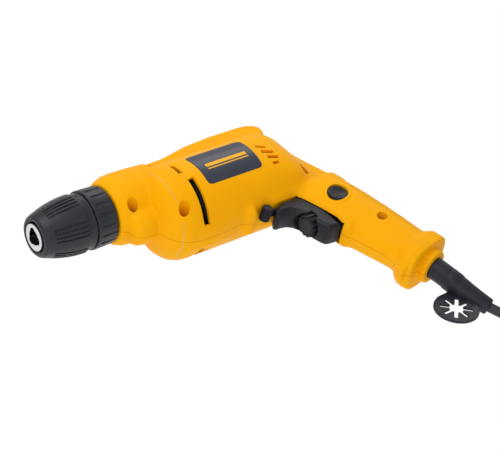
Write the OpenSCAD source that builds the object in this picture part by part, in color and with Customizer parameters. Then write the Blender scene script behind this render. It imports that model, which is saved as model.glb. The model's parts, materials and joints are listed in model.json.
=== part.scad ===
// Corded pistol-grip drill with a keyless chuck, lying on its right side.
// Every module is drawn in the drill's own axes: +X runs forward along the spindle from the
// chuck's nose, +Y runs down towards the handle's end and +Z points to the drill's left side.
// rest() then lays the finished piece down as the drill rests on a flat surface.

/* [Chuck] */
// Largest radius of the front sleeve
sleeve_r = 21.9; // [21.5:0.1:22.5]
// Radius of the rear sleeve
rear_sleeve_r = 21.3; // [20.8:0.1:22]
// Radius of the steel nose ring
nose_r = 10; // [9.5:0.1:10.5]
// Radius of the opening between the jaws when they are fully open
chuck_bore_r = 5.5; // [5.4:0.1:5.6]
// Angle between each jaw and the spindle axis, in degrees
jaw_angle = 16; // [14:1:18]
// Travel of each jaw along its own bore, from open to closed
jaw_travel = 17; // [12:1:17]

/* [Gears] */
// Module of the gear pair
gear_module = 0.6; // [0.58:0.01:0.62]
// Teeth of the pinion cut on the armature shaft
pinion_teeth = 9; // [9:1:10]
// Teeth of the spindle gear
spindle_gear_teeth = 57; // [56:1:58]

/* [Motor] */
// Outer radius of the motor housing
motor_r = 35.3; // [34:0.1:37]
// Outer radius of the gear housing round the spindle
collar_r = 26; // [25:0.5:27]
// Thickness of the plastic shells
wall = 2.6; // [2.2:0.1:3]

/* [Handle] */
// Lean of the handle back from square to the spindle, in degrees
lean = 12; // [10:0.5:14]
// Half of the handle's depth, front to back
grip_r = 21.5; // [20:0.5:23]
// Half of the handle's width, side to side
grip_half_w = 18.2; // [17:0.1:19]
// Travel of the trigger
trigger_travel = 7; // [5:0.5:7]

/* [Cord] */
// Outer diameter of the mains cord
cord_d = 7.2; // [6.5:0.1:7.5]

/* [Rest] */
// Angle that the handle's end drops by when the drill lies on its side, in degrees
rest_tilt = 6.5; // [5:0.1:8]
// Height of the spindle axis above the surface the drill lies on
rest_height = 38; // [36:0.1:40]

/* [Hidden] */

nose_x = 131.5;
spindle_y = -86;

$fn = 64;
eps = 0.01;
fit = 0.05;

yellow = "#f2ae00";
black = "#2a2c33";
steel = "silver";
copper = "#b06a3a";

motor_y = gear_module * (pinion_teeth + spindle_gear_teeth) / 2;
pressure_angle = 20;
pinion_shift = 0.5;
tooth_addendum = 0.8;
tooth_gap = 0.05;

collar_front = -59.5;
collar_back = -98;
bulge_front = -84;
bulge_full = -98;
motor_back = -196;
back_end = -213;
slot_x = -108;
slot_w = 4;

grip_x = -228;
grip_y = 100;
grip_top = -62;
grip_end = 58;
flange_r = 24;
flange_half_w = 20;
flange_h = 14;
boot_ring_r = 12.5;
boot_r = 7.2;
boot_end_r = 4.6;
web_half_w = 14.5;

lock_x = -215.6;
lock_y = 73.2;
lock_r = 6.9;
screw_places = [
    [-68.5, 18, 8], [-95, 43, 10], [-111, -20.5, 4], [-209.5, 41, 10], [-227.5, 110, 10]
];
screw_head_r = 3.6;
screw_r = 1.9;
boss_r = 5.4;

core_front = -122;
core_back = -160;
core_r = 17;

// ---- placing ----
module rest() {
    translate([nose_x, spindle_y, rest_height]) rotate([-rest_tilt, 0, 0]) children();
}
// Turns a shape drawn along +Z so that it runs along +X from x
module along_x(x = 0, y = 0) {
    translate([x, y, 0]) rotate([90, 0, 90]) children();
}
// A round bar along X between two places
module bar(x0, x1, r, r1 = undef, y = 0) {
    along_x(min(x0, x1), y)
        cylinder(h = abs(x1 - x0), r1 = x0 < x1 || r1 == undef ? r : r1, r2 = r1 == undef ? r : (x0 < x1 ? r1 : r));
}
module ring(x0, x1, r, bore, y = 0) {
    difference() {
        bar(x0, x1, r, y = y);
        bar(min(x0, x1) - eps, max(x0, x1) + eps, bore, y = y);
    }
}
// The handle's own axes: x forward, y down the handle, origin on the handle's centre line
module on_grip() {
    translate([grip_x, grip_y, 0]) rotate([0, 0, lean]) children();
}
// A round bar down the handle between two stations, cut to a width
module grip_bar(v0, v1, r, half_w) {
    on_grip() intersection() {
        translate([0, v0, 0]) rotate([-90, 0, 0]) cylinder(h = v1 - v0, r = r);
        translate([-40, v0 - 1, -half_w]) cube([80, v1 - v0 + 2, 2 * half_w]);
    }
}
module slab(points, half_w) {
    translate([0, 0, -half_w]) linear_extrude(height = 2 * half_w) polygon(points);
}
// Part of a ring round the motor axis, between two angles from +Y towards +Z
module motor_sector(x0, x1, r0, r1, a0, a1) {
    along_x(x0, motor_y) rotate_extrude(angle = a1 - a0, start = a0)
        translate([r0, 0]) square([r1 - r0, x1 - x0]);
}

// ---- gear teeth ----
function involute(a) = tan(a) - a * PI / 180;
function half_tooth(r, z, shift) =
    let (rb = gear_module * z * cos(pressure_angle) / 2)
    let (at_pitch = 90 / z + 2 * shift * tan(pressure_angle) / z * 180 / PI
        - tooth_gap / (gear_module * z) * 180 / PI)
    at_pitch + (involute(pressure_angle) - involute(acos(min(1, rb / r)))) * 180 / PI;
function gear_points(z, shift, turn) =
    let (rp = gear_module * z / 2)
    let (rb = rp * cos(pressure_angle))
    let (tip = rp + gear_module * (tooth_addendum + shift))
    let (root = rp - gear_module * (1.25 - shift))
    let (low = max(rb, root + 0.05))
    [for (k = [0:z - 1])
        let (mid = turn + k * 360 / z)
        for (p = concat(
            [[root, -half_tooth(low, z, shift)]],
            [for (i = [0:3]) let (r = low + (tip - low) * i / 3) [r, -half_tooth(r, z, shift)]],
            [for (i = [3:-1:0]) let (r = low + (tip - low) * i / 3) [r, half_tooth(r, z, shift)]],
            [[root, half_tooth(low, z, shift)]]))
        [p[0] * cos(mid + p[1]), p[0] * sin(mid + p[1])]];

// ---- housing ----
module top_ridge() {
    slab([[-100, -6], [-101, -24], [-105, -27.5], [-128, -28], [-140, -30.5], [-152, -33],
        [-176, -34.6], [-205, -34.8], [-214, -33], [-219, -29], [-219.5, -25], [-217, -17],
        [-210, -8], [-134, -6]], 9);
}
module web() {
    slab([[-148, 40], [-148, 56.5], [-149.6, 59], [-152.4, 59], [-153, 52], [-166, 52], [-168.5, 59.5],
        [-191, 60], [-200.5, 97], [-204, 103], [-226, 103], [-218, 40]], web_half_w);
}
module housing_skin() {
    bar(collar_front, collar_front - 6.5, 22.5, collar_r);
    bar(collar_front - 6.5, collar_back, collar_r);
    bar(-62, -69, 9, 13.8, y = motor_y + 1);
    bar(-69, collar_back, 13.8, y = motor_y + 1);
    bar(bulge_front, bulge_full, 26, motor_r, y = motor_y);
    bar(bulge_full, motor_back, motor_r, y = motor_y);
    bar(motor_back, motor_back - 9, motor_r, 31.5, y = motor_y);
    bar(motor_back - 9, back_end, 31.5, 21, y = motor_y);
    grip_bar(grip_top, grip_end, grip_r, grip_half_w);
    slab([[-180, -4], [-205, -7], [-213, -2], [-221, 10], [-229, 27], [-236, 46], [-200, 60], [-190, 40]], 14);
    grip_bar(grip_end - flange_h, grip_end, flange_r, flange_half_w);
    grip_bar(grip_end - 2, grip_end + 4, boot_ring_r, boot_ring_r);
    web();
    top_ridge();
}
module housing_hollow() {
    bar(collar_front + 1, -62, 9);
    bar(-62 + eps, -70.2, 14);
    bar(-70.2 + eps, -91.4, 22.2);
    bar(-74, -91.4, 9, y = motor_y);
    bar(-91.4 + eps, -101.2, 32.2, y = motor_y);
    intersection() {
        bar(-91.4, -101.2, 22.2);
        bar(-80, -110, 33, y = motor_y);
    }
    bar(-101, -187, motor_r - wall, y = motor_y);
    bar(-186.9, -189.8, 26, y = motor_y);
    bar(-189.7, -196, 9.55, y = motor_y);
    bar(-196 + eps, -200, 6, y = motor_y);
    difference() {
        union() {
            grip_bar(-60, grip_end - 5, grip_r - wall, grip_half_w - wall);
            slab([[-203, 45], [-203, 98], [-230, 98], [-230, 45]], trigger_half_w + 0.6);
        }
        bar(-150, -202, motor_r - 1, y = motor_y);
    }
    slab([[-196, 35], [-212, 35], [-212, 62], [-203, 62]], 5);
    on_grip() translate([0, grip_end - 10, 0]) rotate([-90, 0, 0]) cylinder(h = 20, r = boot_r + 0.1);
    slab([[-153.2, 59.2], [-215, 59.2], [-222, 98], [-153.2, 98]], trigger_half_w + 0.6);
    slab([[-166, 55.6], [-192, 55.6], [-192, 60], [-166, 60]], 11);
    for (side = [0, 1]) mirror([0, 0, side]) {
        motor_sector(slot_x - slot_w / 2, slot_x + slot_w / 2, 30, 40, 18, 78);
        motor_sector(slot_x - 1, slot_x + 3, 30, 40, 90, 108);
        for (i = [0:4])
            motor_sector(-190 + 1.5 * abs(i - 2), -178, 25, 40, 62 + 9 * i, 65.5 + 9 * i);
    }
}
module screw_bosses() {
    for (p = screw_places) translate([p[0], p[1], -40]) cylinder(h = 80, r = boss_r);
}
module housing_body() {
    difference() {
        union() {
            difference() {
                housing_skin();
                housing_hollow();
            }
            intersection() {
                housing_skin();
                difference() {
                    screw_bosses();
                    bar(-60, -91, 19.6);
                    bar(-102, -190, motor_r - wall, y = motor_y);
                }
            }
        }
        for (p = screw_places) translate([p[0], p[1], 0]) {
            translate([0, 0, p[2]]) cylinder(h = 60, r = 4);
            translate([0, 0, -14]) cylinder(h = 60, r = 2);
        }
    }
}
module half_space(side) {
    translate([-320, -80, side > 0 ? 0 : -60]) cube([400, 320, 60]);
}
module housing_left() {
    color(yellow) rest() difference() {
        intersection() {
            housing_body();
            half_space(1);
        }
        translate([lock_x, lock_y, 5]) cylinder(h = 20, r = lock_r + 0.35);
    }
}
module housing_right() {
    color(yellow) rest() intersection() {
        housing_body();
        half_space(-1);
    }
}
module housing_screws() {
    color(steel) rest() for (p = screw_places) translate([p[0], p[1], 0]) {
        translate([0, 0, p[2]]) cylinder(h = 2.6, r = screw_head_r);
        translate([0, 0, -13]) cylinder(h = p[2] + 13 + eps, r = screw_r);
    }
}
module side_label() {
    color("#3b4050") rest() motor_sector(-168, -124, motor_r, motor_r + 0.5, 61, 114);
}
module rating_plate() {
    color(black) rest() motor_sector(-168, -124, motor_r, motor_r + 0.5, -114, -70);
}

// ---- gear housing pieces ----
module gear_plate() {
    color(steel) rest() difference() {
        bar(-91.6, -101, 32, y = motor_y);
        bar(-90, -99, 8);
        bar(-98, -102, 7);
        bar(-94, -102, 11, y = motor_y);
        bar(-90, -102, 6, y = motor_y);
        translate([screw_places[1][0], screw_places[1][1], -40]) cylinder(h = 80, r = boss_r + 0.3);
    }
}
module spindle_front_bearing() {
    color(steel) rest() ring(-62.1, -70.1, 13.95, 6 + fit);
}
module spindle_rear_bush() {
    color("#b5893a") rest() ring(-91.7, -98.9, 7.95, 6 + fit);
}
module spindle_seal() {
    color(black) rest() ring(-59.6, -61.9, 8.95, 8.3);
}
module motor_front_bearing() {
    color(steel) rest() ring(-94.1, -101, 10.95, 4 + fit, y = motor_y);
}
module motor_rear_bearing() {
    color(steel) rest() ring(-189.9, -195.9, 9.5, 3.5 + fit, y = motor_y);
}
module stator_core() {
    color("#8a8d90") rest() difference() {
        bar(core_back, core_front, motor_r - wall - 0.1, y = motor_y);
        bar(core_back - 1, core_front + 1, core_r + 0.7, y = motor_y);
        for (a = [52, 232]) motor_sector(core_back - 1, core_front + 1, core_r + 0.6, 27, a, a + 76);
    }
}
module field_coils() {
    color(copper) rest() for (pole = [0, 180]) {
        for (a = [56, 266]) motor_sector(core_back - 5, core_front + 5, 18.4, 25.6, pole + a, pole + a + 38);
        for (x = [core_back - 5, core_front + 0.5])
            motor_sector(x, x + 4.5, 18.4, 25.6, pole - 60, pole + 60);
    }
}
module fan_baffle() {
    color(black) rest() ring(-118.4, -116.4, motor_r - wall - 0.1, 27, y = motor_y);
}
module brush_holders() {
    color("#a58a4a") rest() for (side = [0, 1]) mirror([0, 0, side]) difference() {
        translate([-179, motor_y - 5, 12.5]) cube([8.5, 10, 16]);
        translate([-178, motor_y - 3.6, 12]) cube([6.5, 7.2, 17]);
    }
}
module carbon_brushes() {
    color("#303030") rest() for (side = [0, 1]) mirror([0, 0, side])
        translate([-177.9, motor_y - 3.5, 10.8]) cube([6.3, 7, 11]);
}
module brush_springs() {
    color(steel) rest() for (side = [0, 1]) mirror([0, 0, side])
        translate([-174.75, motor_y, 21.9]) difference() {
            cylinder(h = 6.4, r = 2.8);
            translate([0, 0, -1]) cylinder(h = 9, r = 2);
        }
}

// ---- rotating group ----
module pinion() {
    along_x(-90.5, motor_y) linear_extrude(height = 16)
        polygon(gear_points(pinion_teeth, pinion_shift, 180));
}
module armature_shaft() {
    color(steel) rest() {
        pinion();
        bar(-90.4, -188, 4, y = motor_y);
        bar(-187.9, -196.5, 3.5, y = motor_y);
    }
}
module armature_core() {
    color("#8a8d90") rest() difference() {
        ring(core_back, core_front, core_r, 4, y = motor_y);
        for (a = [0:30:330]) along_x(core_back - 1, motor_y) rotate([0, 0, a + 15])
            translate([core_r - 5.5, -1, 0]) cube([7, 2, 40]);
    }
}
module armature_windings() {
    color(copper) rest() {
        ring(core_back - 6, core_back - 0.1, 14.5, 4, y = motor_y);
        ring(core_front + 0.1, core_front + 5, 14.5, 4, y = motor_y);
    }
}
module commutator() {
    color(copper) rest() ring(-183, -167, 10.5, 4, y = motor_y);
}
module cooling_fan() {
    color("#d8d4c8") rest() {
        ring(-115.4, -113.4, 28.5, 4, y = motor_y);
        ring(-113.5, -103, 7, 4, y = motor_y);
        for (a = [0:40:320]) along_x(-113.5, motor_y) rotate([0, 0, a])
            translate([6.5, -0.8, 0]) cube([22, 1.6, 10]);
    }
}
module spindle() {
    color(steel) rest() {
        difference() {
            bar(-38.5, -57.6, 4.7);
            bar(-37, -52, 2.45);
        }
        bar(-57.5, -61.9, 8);
        bar(-61.8, -99.8, 6);
        bar(-70.3, -74, 7.6);
    }
}
module spindle_gear() {
    color(steel) rest() difference() {
        along_x(-88, 0) linear_extrude(height = 11.5)
            polygon(gear_points(spindle_gear_teeth, -pinion_shift, 180 / spindle_gear_teeth));
        bar(-90, -70, 6);
    }
}
module gear_clip() {
    color(steel) rest() ring(-89.4, -88.1, 8.2, 6);
}

// ---- chuck ----
chuck_bore_depth = 29;
jaw_tip_x = -14;
jaw_tip_axis_r = 7.9;
jaw_r = 3.3;
jaw_length = 19.5;
jaw_face_r = chuck_bore_r + 0.05;
jaw_apex_r = jaw_travel * sin(jaw_angle);
jaw_face_w = (jaw_face_r - jaw_apex_r) * tan(60) - 0.2;
module on_jaw(k) {
    rotate([k * 120 + 30, 0, 0]) translate([jaw_tip_x, 0, jaw_tip_axis_r])
        rotate([0, jaw_angle - 90, 0]) children();
}
module chuck_body() {
    color(steel) rest() difference() {
        union() {
            bar(0, -7, nose_r);
            bar(-7 + eps, -17, nose_r, 15.6);
            bar(-17 + eps, -37, 15.6);
            bar(-37 + eps, -57.4, 18.5);
        }
        bar(1, -chuck_bore_depth, chuck_bore_r);
        bar(-chuck_bore_depth + 1, -33, 4.5);
        bar(-32, -38, 2.6);
        bar(-37.5, -58, 4.75);
        for (k = [0:2]) on_jaw(k) translate([0, 0, -jaw_travel - 4]) cylinder(h = jaw_length + jaw_travel + 9, r = jaw_r + fit);
    }
}
module jaw(k) {
    color(steel) rest() intersection() {
        on_jaw(k) cylinder(h = jaw_length, r = jaw_r);
        rotate([k * 120 + 30, 0, 0]) along_x(-60) linear_extrude(height = 70)
            polygon([[-jaw_face_w, jaw_face_r], [jaw_face_w, jaw_face_r],
                [jaw_face_w + 5 * tan(60), jaw_face_r + 5], [jaw_face_w + 5 * tan(60), 40],
                [-jaw_face_w - 5 * tan(60), 40], [-jaw_face_w - 5 * tan(60), jaw_face_r + 5]]);
    }
}
module jaw_1() { jaw(0); }
module jaw_2() { jaw(1); }
module jaw_3() { jaw(2); }
module thrust_balls() {
    color(steel) rest() for (a = [0:24:336]) rotate([a, 0, 0]) translate([-34.9, 0, 17.2]) sphere(r = 1.3, $fn = 24);
}
module chuck_screw() {
    color("#4a4a4a") rest() difference() {
        union() {
            bar(-29.1, -32.9, 4.4);
            bar(-32.8, -50, 2.4);
        }
        along_x(-31.5) cylinder(h = 4, r = 2.3, $fn = 6);
    }
}
module chuck_nut() {
    color(steel) rest() ring(-32.6, -24, 19, 17.2);
}
module front_sleeve() {
    color(black) rest() difference() {
        along_x(0) rotate_extrude() polygon([
            [11, -3], [14.6, -2.4], [16.2, -3.6], [18, -9], [19.8, -16], [21, -23], [sleeve_r, -32],
            [sleeve_r - 0.2, -35], [21.2, -35.4], [21.2, -39.6], [19.05, -39.6], [19.05, -21.5],
            [11, -7.5]]);
        for (a = [0:60:300]) for (s = [-11, 11]) rotate([a + s, 0, 0])
            translate([-30, -0.6, 19.2]) rotate([0, 11, 0]) cube([22, 1.2, 8]);
    }
}
module rear_sleeve() {
    color(black) rest() difference() {
        ring(-57.7, -41, rear_sleeve_r, 18.5);
        for (a = [0:20:340]) rotate([a, 0, 0]) translate([-55.5, -0.7, rear_sleeve_r - 0.7]) cube([16, 1.4, 2]);
    }
}

// ---- controls ----
trigger_half_w = 9.2;
trigger_top = 59.8;
trigger_foot = 97.4;
trigger_back = -202;
dial_x = -189;
dial_y = 78;
dial_r = 9;
dial_t = 7;
stem_x = -217;
switch_front = -209.6;
switch_rear = -233.4;
module switch_body() {
    color(black) rest() difference() {
        translate([switch_rear, 61, -8]) cube([switch_front - switch_rear, 37, 16]);
        translate([stem_x - trigger_travel - 1, dial_y - 6.5, -6.2]) cube([20, 13, 12.4]);
    }
}
module trigger() {
    color(black) rest() difference() {
        union() {
            slab([[trigger_back, trigger_top], [-168.6, trigger_top], [-166.4, 61.3], [-165.5, 65], [-166.4, 68.2],
                [-168.9, 69], [-172.5, 68.6], [-177, 70.5], [-181, 74.5], [-184, 80], [-186.5, 88],
                [-188.5, trigger_foot], [trigger_back, trigger_foot]], trigger_half_w);
            slab([[stem_x, dial_y - 6], [trigger_back + 1, dial_y - 6], [trigger_back + 1, dial_y + 6],
                [stem_x, dial_y + 6]], 5.8);
        }
        bar(dial_x - 0.3, dial_x + 30, dial_r + 0.5, y = dial_y);
        bar(dial_x - 5, dial_x, 2 + fit, y = dial_y);
        bar(stem_x - 1, stem_x + 10, 4, y = dial_y);
    }
}
module speed_dial() {
    color(black) rest() difference() {
        union() {
            bar(dial_x, dial_x + dial_t, dial_r, y = dial_y);
            bar(dial_x - 4.5, dial_x + eps, 2, y = dial_y);
        }
        for (a = [0:20:340]) along_x(dial_x - 1, dial_y) rotate([0, 0, a])
            translate([dial_r, 0, 0]) cylinder(h = dial_t + 2, r = 0.8, $fn = 16);
    }
}
module trigger_spring() {
    color(steel) rest() ring(stem_x - trigger_travel - 0.9, stem_x + 9.9, 3.5, 2.6, y = dial_y);
}
lever_x = -186;
lever_arm = 27;
lever_swing = 12;
lever_tab_r = 4.1;
lever_tab_half_w = 7;
lever_tab_y = 60.4;
module direction_lever() {
    color(black) rest() translate([lever_x, 0, 0]) rotate([0, -lever_swing, 0]) {
        translate([0, 56.4, 0]) rotate([-90, 0, 0]) cylinder(h = 2.8, r = 5);
        translate([0, 56.4, -2.5]) cube([lever_arm - 3, 2.8, 5]);
        translate([lever_arm, lever_tab_y, -lever_tab_half_w]) difference() {
            cylinder(h = 2 * lever_tab_half_w, r = lever_tab_r);
            for (a = [0:30:330]) rotate([0, 0, a]) translate([lever_tab_r + 0.2, 0, -1])
                cylinder(h = 2 * lever_tab_half_w + 2, r = 0.6, $fn = 12);
        }
    }
}
module lock_button() {
    color(black) rest() translate([lock_x, lock_y, 0]) difference() {
        union() {
            translate([0, 0, 14.8]) cylinder(h = 2.9, r = lock_r);
            translate([0, 0, 11.6]) cylinder(h = 3.5, r = 3);
        }
        translate([0, 0, 17.7 + 19.2]) sphere(r = 20);
    }
}
module lock_spring() {
    color(steel) rest() translate([lock_x, lock_y, 8.1]) difference() {
        cylinder(h = 6.6, r = 4.6);
        translate([0, 0, -1]) cylinder(h = 9, r = 3.6);
    }
}
module suppressor() {
    color("#c9b04a") rest() on_grip() translate([-9, 18, -6]) cube([16, 14, 12]);
}
module internal_leads() {
    color("#5a6a9a") rest() on_grip() for (u = [-11.6, -14.6])
        translate([u, -20, -2]) rotate([-90, 0, 0]) cylinder(h = 60, r = 1.3);
}
module cord_clamp() {
    color(black) rest() on_grip() difference() {
        translate([-11, 41, -6]) cube([22, 6, 9]);
        translate([0, 40, 0]) rotate([-90, 0, 0]) cylinder(h = 8, r = cord_d / 2);
        for (u = [-8, 8]) translate([u, 44, -10]) cylinder(h = 20, r = 1.6);
    }
}
module clamp_screws() {
    color(steel) rest() on_grip() for (u = [-8, 8]) translate([u, 44, 0]) {
        translate([0, 0, 3.1]) cylinder(h = 2, r = 2.7);
        translate([0, 0, -12]) cylinder(h = 15.2, r = 1.5);
    }
}

// ---- cord and what is on it, drawn where they lie ----
boot_points = [
    [-106.6, 60.3, 21.3], [-108.9, 71, 20.1], [-111.5, 81, 18], [-115, 92.5, 14.2],
    [-119.5, 104, 10], [-124.5, 115, 6.6]
];
boot_radii = [7.2, 7.2, 7.1, 6.8, 6.2, 5.4];
lead_points = [
    [-124.5, 115, 6.6], [-129.5, 125.5, 4.4], [-135, 137, 3.7], [-142, 150, 3.7], [-150, 163, 3.7],
    [-160, 175, 3.7], [-172, 184, 3.7], [-186, 189, 3.7], [-200, 190, 3.7]
];
tail_points = [
    [-250.2, 137, 10], [-250.4, 127, 9.4], [-251, 115, 7.4], [-251.6, 104, 6.6], [-252, 93, 8.2], [-252, 83, 10]
];
coil_centre = [-203, 139, 0];
coil_inner_r = 25.2;
coil_outer_r = 54.6;
coil_h = 13.7;
tube_sides = 10;

function unit(v) = v / norm(v);
// The middle direction at one point of a route
function heading(pts, i) = unit(pts[min(i + 1, len(pts) - 1)] - pts[max(i - 1, 0)]);
// A ring of points round a route's point, kept level
function ring_at(pts, radii, i, sides) =
    let (t = heading(pts, i))
    let (side = unit(cross(t, [0, 0, 1])))
    let (up = cross(side, t))
    [for (k = [0:sides - 1]) pts[i] + radii[i] * (cos(k * 360 / sides) * side + sin(k * 360 / sides) * up)];
module tube(pts, radii, sides) {
    n = len(pts);
    polyhedron(
        points = [for (i = [0:n - 1]) for (q = ring_at(pts, radii, i, sides)) q],
        faces = concat(
            [[for (k = [sides - 1:-1:0]) k]],
            [[for (k = [0:sides - 1]) (n - 1) * sides + k]],
            [for (i = [0:n - 2]) for (k = [0:sides - 1])
                let (a = i * sides + k)
                let (b = i * sides + (k + 1) % sides)
                for (f = [[a, b, b + sides], [a, b + sides, a + sides]]) f]
        ),
        convexity = 4
    );
}
// Catmull-Rom points through a route, a few to each stretch
function spline(pts, steps) =
    let (n = len(pts))
    [for (i = [0:n - 2]) for (s = [0:steps - 1])
        let (t = s / steps)
        let (a = i == 0 ? 2 * pts[0] - pts[1] : pts[i - 1])
        let (b = pts[i])
        let (c = pts[i + 1])
        let (d = i == n - 2 ? 2 * pts[n - 1] - pts[n - 2] : pts[i + 2])
        0.5 * (2 * b + (c - a) * t + (2 * a - 5 * b + 4 * c - d) * t * t
            + (3 * b - a - 3 * c + d) * t * t * t), pts[n - 1]];
module cord_boot() {
    color(black) tube(boot_points, boot_radii, 16);
}
module cord_lead() {
    fine = spline(lead_points, 1);
    color(black) tube(fine, [for (p = fine) cord_d / 2], tube_sides);
    fine_tail = spline(tail_points, 1);
    color(black) tube(fine_tail, [for (p = fine_tail) cord_d / 2], tube_sides);
}
module cord_coil() {
    color(black) translate(coil_centre) rotate_extrude() polygon([
        [coil_inner_r, 0], [coil_outer_r, 0], [coil_outer_r, 7.2], [coil_outer_r - 4, coil_h],
        [coil_inner_r + 3, coil_h], [coil_inner_r, 7.2]]);
}
key_disc = [-99.3, 105.6, 9.8];
key_disc_r = 16.6;
key_plate_t = 3;
key_band = [-113.6, 88, 15.9];
module key_holder() {
    color(black) difference() {
        union() {
            translate(key_disc - [0, 0, key_plate_t / 2]) {
                cylinder(h = key_plate_t, r = key_disc_r);
                linear_extrude(height = key_plate_t)
                    polygon([[-15.6, 5], [-8.8, -16.4], [-13.8, -19.4], [-20.5, -14], [-16, -2]]);
            }
            translate(key_band) rotate([-72.5, 0, 16]) translate([0, 0, -5]) cylinder(h = 10, r = 8.6);
        }
        translate(key_band) rotate([-72.5, 0, 16]) translate([0, 0, -20]) cylinder(h = 40, r = 7.3);
        translate(key_disc - [0, 0, 5]) {
            cylinder(h = 10, r = 4.6);
            for (a = [0:45:315]) rotate([0, 0, a + 12]) translate([0, -0.9, 0]) cube([10.5, 1.8, 10]);
        }
    }
}
plug_at = [-252, 83, 10];
plug_w = 35;
pin_spacing = 19;
pin_r = 2.4;
pin_len = 19;
module plug_body() {
    color(black) translate(plug_at) rotate([90, 0, 0]) difference() {
        union() {
            cylinder(h = 16, r1 = 5.5, r2 = 7);
            translate([0, 0, 15.9]) cylinder(h = 8, r1 = 7, r2 = 9.8);
            translate([-plug_w / 2, -9.8, 22]) cube([plug_w, 19.6, 12]);
        }
        for (side = [-1, 1]) translate([side * pin_spacing / 2, 0, 24]) cylinder(h = 20, r = pin_r - 0.4);
    }
}
module plug_pins() {
    color(steel) translate(plug_at) rotate([90, 0, 0]) for (side = [-1, 1])
        translate([side * pin_spacing / 2, 0, 24]) {
            cylinder(h = 11, r = pin_r - 0.4);
            translate([0, 0, 10]) cylinder(h = pin_len, r = pin_r);
        }
}

housing_left();
housing_right();
housing_screws();
rating_plate();
side_label();
gear_plate();
spindle_front_bearing();
spindle_rear_bush();
spindle_seal();
motor_front_bearing();
motor_rear_bearing();
stator_core();
field_coils();
fan_baffle();
brush_holders();
carbon_brushes();
brush_springs();
switch_body();
trigger_spring();
suppressor();
internal_leads();
cord_clamp();
clamp_screws();
cord_boot();
key_holder();
armature_shaft();
armature_core();
armature_windings();
commutator();
cooling_fan();
spindle();
spindle_gear();
gear_clip();
chuck_body();
rear_sleeve();
thrust_balls();
chuck_screw();
front_sleeve();
chuck_nut();
jaw_1();
jaw_2();
jaw_3();
trigger();
speed_dial();
direction_lever();
lock_button();
lock_spring();
cord_lead();
cord_coil();
plug_body();
plug_pins();
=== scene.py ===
"""Corded pistol-grip drill with a keyless chuck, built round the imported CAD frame.

Shapes are drawn in the drill's own axes in millimetres: +X forward along the spindle, with the
origin at the chuck's nose, +Y down towards the handle's end, +Z to the drill's left. The matrix
REST lays them down in the frame's axes in metres. The cord, its boot, the key holder and the plug
are drawn in the frame's axes in millimetres, and WORLD_MM brings them to metres.
"""
import json
import math

import bmesh
import bpy
import numpy as np
from mathutils import Matrix, Vector


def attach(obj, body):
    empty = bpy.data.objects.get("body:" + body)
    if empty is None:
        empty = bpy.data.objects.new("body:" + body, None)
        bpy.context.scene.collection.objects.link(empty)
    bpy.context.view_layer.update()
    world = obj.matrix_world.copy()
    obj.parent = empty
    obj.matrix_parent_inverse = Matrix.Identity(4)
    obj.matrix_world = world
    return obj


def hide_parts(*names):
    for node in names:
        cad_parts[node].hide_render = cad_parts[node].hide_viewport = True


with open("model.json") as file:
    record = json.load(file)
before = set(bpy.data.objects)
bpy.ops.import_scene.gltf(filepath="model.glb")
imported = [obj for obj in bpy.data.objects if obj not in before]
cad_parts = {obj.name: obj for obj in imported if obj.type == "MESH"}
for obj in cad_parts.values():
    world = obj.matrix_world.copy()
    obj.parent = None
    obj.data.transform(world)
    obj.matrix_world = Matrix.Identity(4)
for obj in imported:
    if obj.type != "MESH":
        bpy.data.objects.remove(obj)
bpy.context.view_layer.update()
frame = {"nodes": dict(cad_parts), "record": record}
nodes = frame["nodes"]

MM = 0.001
REST_TILT = math.radians(6.5)
NOSE_X, SPINDLE_Y, REST_HEIGHT = 131.5, -86.0, 38.0
MOTOR_Y = 19.8
MOTOR_R = 35.3
REST = (
    Matrix.Scale(MM, 4)
    @ Matrix.Translation((NOSE_X, SPINDLE_Y, REST_HEIGHT))
    @ Matrix.Rotation(-REST_TILT, 4, "X")
)
WORLD_MM = Matrix.Scale(MM, 4)

# ------------------------------------------------------------------ camera, light and floor
FOCAL_PX = 1592.2
PICTURE_WIDTH_PX = 500
SENSOR_MM = 36.0
CAMERA_PLACE = (0.63528, 0.68129, 0.66915)
CAMERA_TURN_DEG = (56.3103, -5.5450, 141.1284)
FLOOR_HALF_M = 4.0
WORLD_STRENGTH = 0.55


def make_camera():
    data = bpy.data.cameras.new("camera")
    data.sensor_width = SENSOR_MM
    data.lens = FOCAL_PX * SENSOR_MM / PICTURE_WIDTH_PX
    data.clip_start = 0.05
    data.clip_end = 20.0
    cam = bpy.data.objects.new("camera", data)
    cam.location = CAMERA_PLACE
    cam.rotation_euler = [math.radians(a) for a in CAMERA_TURN_DEG]
    bpy.context.scene.collection.objects.link(cam)
    bpy.context.scene.camera = cam


def make_light(name, location, size, power, target=(0.0, 0.0, 0.03)):
    """A soft rectangular lamp that faces the drill."""
    data = bpy.data.lights.new(name, "AREA")
    data.shape = "RECTANGLE"
    data.size, data.size_y = size
    data.energy = power
    light = bpy.data.objects.new(name, data)
    light.location = location
    light.rotation_euler = (Vector(target) - Vector(location)).to_track_quat("-Z", "Y").to_euler()
    bpy.context.scene.collection.objects.link(light)


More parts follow.
